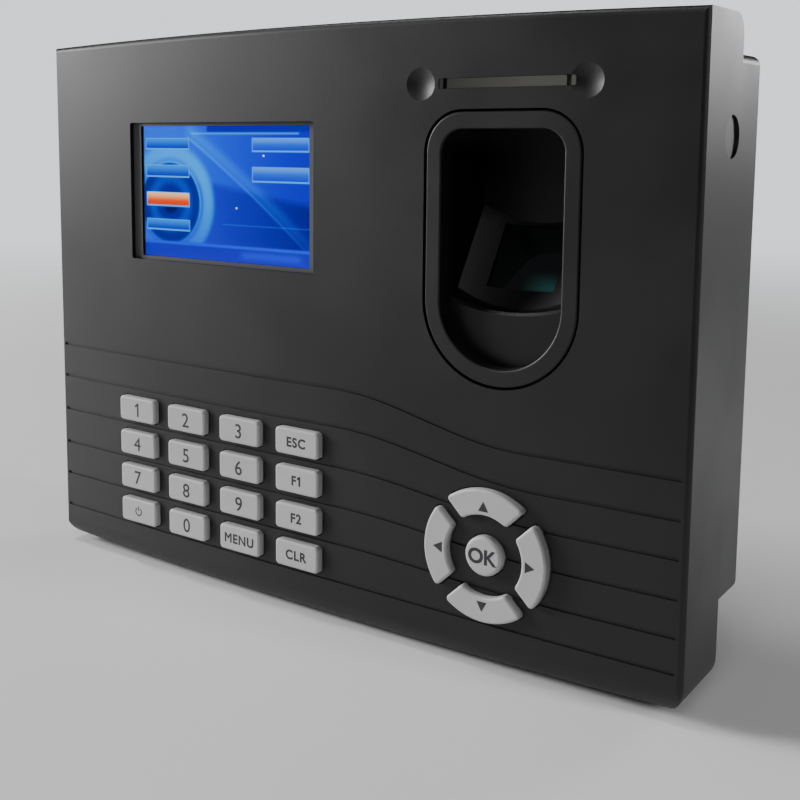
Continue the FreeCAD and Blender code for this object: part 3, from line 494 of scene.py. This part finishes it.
def outward(edge):
    """The direction out of flat artwork across one of its border edges."""
    along = (edge.verts[1].co - edge.verts[0].co).normalized()
    out = Vector((along.y, -along.x, 0))
    inside = edge.link_faces[0].calc_center_median() - edge.verts[0].co
    return -out if out.dot(inside) > 0 else out


def add_flag(work):
    """The font's 1 is a plain bar: this gives a flag to one at the end of a word."""
    bar = max(v.co.x for v in work.verts) - STROKE
    tip, top = bar - FLAG_WIDE, max(v.co.y for v in work.verts)
    points = [(bar, top), (tip, top - FLAG_DROP), (tip, top - FLAG_DROP - STROKE), (bar, top - FLAG_DROP)]
    work.faces.new([work.verts.new((x, y, 0)) for x, y in points])


def embolden(mesh, reach, flagged):
    """Moves the border of flat artwork outwards by this much, and less at sharp corners."""
    work = bmesh.new()
    work.from_mesh(mesh)
    bmesh.ops.remove_doubles(work, verts=work.verts, dist=SEAM)
    if flagged:
        add_flag(work)
    moves = []
    for vert in work.verts:
        normals = [outward(e) for e in vert.link_edges if e.is_boundary]
        if len(normals) == 2 and (normals[0] + normals[1]).length > 0.1:
            middle = (normals[0] + normals[1]).normalized()
            moves.append((vert, middle * (reach / max(middle.dot(normals[0]), 0.6))))
    for vert, move in moves:
        vert.co += move
    work.to_mesh(mesh)
    work.free()


def word_mesh(text, tall, bold=0.0, spacing=1.0):
    """Text as a mesh of this height, centred, its strokes thickened by bold."""
    curve = bpy.data.curves.new("word", "FONT")
    curve.body, curve.size, curve.space_character = text, 1.0, spacing
    holder = bpy.data.objects.new("word", curve)
    bpy.context.scene.collection.objects.link(holder)
    bpy.context.view_layer.update()
    mesh = bpy.data.meshes.new_from_object(holder.evaluated_get(bpy.context.evaluated_depsgraph_get()))
    bpy.data.objects.remove(holder)
    embolden(mesh, bold, text.endswith("1"))
    low = [min(v.co[k] for v in mesh.vertices) for k in (0, 1)]
    high = [max(v.co[k] for v in mesh.vertices) for k in (0, 1)]
    scale = tall / (high[1] - low[1])
    for v in mesh.vertices:
        v.co = Vector((v.co.x - (low[0] + high[0]) / 2, v.co.y - (low[1] + high[1]) / 2, 0)) * scale
    return thickened(mesh)


def thickened(mesh):
    """Gives flat artwork sides, half sunk into what it is printed on."""
    work = bmesh.new()
    work.from_mesh(mesh)
    bmesh.ops.remove_doubles(work, verts=work.verts, dist=1e-7)
    made = bmesh.ops.extrude_face_region(work, geom=work.faces[:])
    for part in made["geom"]:
        if isinstance(part, bmesh.types.BMVert):
            part.co.z += INK
    for v in work.verts:
        v.co.z -= 0 if v.co.z > INK / 2 else INK
    bmesh.ops.recalc_face_normals(work, faces=work.faces)
    work.to_mesh(mesh)
    work.free()
    return mesh


def outline_mesh(outlines):
    """Flat faces with these outlines, given as lists of (x, y) points."""
    mesh = bpy.data.meshes.new("outline")
    points = [(x, y, 0) for outline in outlines for x, y in outline]
    faces, start = [], 0
    for outline in outlines:
        faces.append(list(range(start, start + len(outline))))
        start += len(outline)
    mesh.from_pydata(points, [], faces)
    return thickened(mesh)


def turned(points, angle):
    c, s = math.cos(math.radians(angle)), math.sin(math.radians(angle))
    return [(c * x - s * y, s * x + c * y) for x, y in points]


def arrow_mesh(angle):
    half = ARROW_WIDE / 2
    points = [(ARROW_LONG / 2, 0), (-ARROW_LONG / 2, half), (-ARROW_LONG / 2, -half)]
    return outline_mesh([turned(points, angle)])


def power_mesh(radius=1.05 * MM, stroke=0.36 * MM, gap=38, steps=40):
    """A ring that is open at its top, with a bar in the opening."""
    inner, outer = radius - stroke / 2, radius + stroke / 2
    angles = [math.radians(90 + gap + (360 - 2 * gap) * k / steps) for k in range(steps + 1)]
    rays = [(math.cos(a), math.sin(a)) for a in angles]
    quads = [[(inner * p[0], inner * p[1]), (outer * p[0], outer * p[1]),
              (outer * q[0], outer * q[1]), (inner * q[0], inner * q[1])]
             for p, q in zip(rays, rays[1:])]
    half = stroke / 2
    bar = [(-half, 0.1 * radius), (half, 0.1 * radius), (half, 1.35 * radius), (-half, 1.35 * radius)]
    return outline_mesh(quads + [bar])


def print_keys():
    ink = print_ink()
    for digit in range(10):
        add_print(f"key_{digit}", word_mesh(str(digit), DIGIT_TALL, THIN), ink)
    for key, word in WORDS.items():
        add_print(key, word_mesh(word, WORD_TALL, BOLD, 1.12), ink)
    for key, angle in ARROWS.items():
        add_print(key, arrow_mesh(angle), ink)
    add_print("nav_ok", word_mesh("OK", OK_TALL, BOLD), ink)
    add_print("key_power", power_mesh(), ink)


# ---------------------------------------------------------------- studio

def floor():
    """A pale floor that fades into the background far from the object."""
    bpy.ops.mesh.primitive_plane_add(size=FLOOR_SIZE, location=(0, 0, CAD_BOX[0].z - FLOOR_DROP))
    ground = bpy.context.object
    ground.name = "studio_floor"
    made = Surface("studio_floor", Roughness=0.5)
    made.set("Base Color", made.mix(made.noise(8, 2), srgb(226, 226, 226), srgb(232, 232, 232)))
    x, y, _ = made.axes()
    away = made.math("SQRT", made.math("ADD", made.math("MULTIPLY", x, x), made.math("MULTIPLY", y, y)))
    clear = made.shade("ShaderNodeBsdfTransparent")
    made.show(made.blend(made.ramp(away, *FLOOR_FADE), made.shader.outputs[0], clear))
    ground.data.materials.append(made.material)


def area_light(name, place, target, size, power):
    data = bpy.data.lights.new(name, "AREA")
    data.shape, data.size, data.size_y = "RECTANGLE", size[0], size[1]
    data.energy = power
    lamp = bpy.data.objects.new(name, data)
    lamp.location = place
    lamp.visible_camera = False
    lamp.rotation_euler = (Vector(target) - Vector(place)).to_track_quat("-Z", "Y").to_euler()
    bpy.context.scene.collection.objects.link(lamp)


def lights():
    world = bpy.data.worlds.new("studio_world")
    world.use_nodes = True
    nodes, links = world.node_tree.nodes, world.node_tree.links
    backdrop = nodes["Background"]
    backdrop.inputs["Color"].default_value = (0.94, 0.96, 1.0, 1)
    seen = nodes.new("ShaderNodeLightPath").outputs["Is Camera Ray"]
    brightness = nodes.new("ShaderNodeMapRange")
    brightness.inputs["To Min"].default_value = AMBIENT
    brightness.inputs["To Max"].default_value = BACKDROP
    links.new(seen, brightness.inputs["Value"])
    links.new(brightness.outputs[0], backdrop.inputs["Strength"])
    bpy.context.scene.world = world
    for name, settings in LIGHTS.items():
        area_light(name, *settings)


def camera():
    data = bpy.data.cameras.new("camera")
    data.lens = data.sensor_width * CAMERA_FOCAL
    data.shift_x, data.shift_y = CAMERA_SHIFT
    eye = bpy.data.objects.new("camera", data)
    eye.location = CAMERA_PLACE
    eye.rotation_euler = (math.radians(90 - CAMERA_PITCH), 0, math.radians(CAMERA_YAW))
    bpy.context.scene.collection.objects.link(eye)
    bpy.context.scene.camera = eye


dress(build_materials())
print_keys()
floor()
lights()
camera()
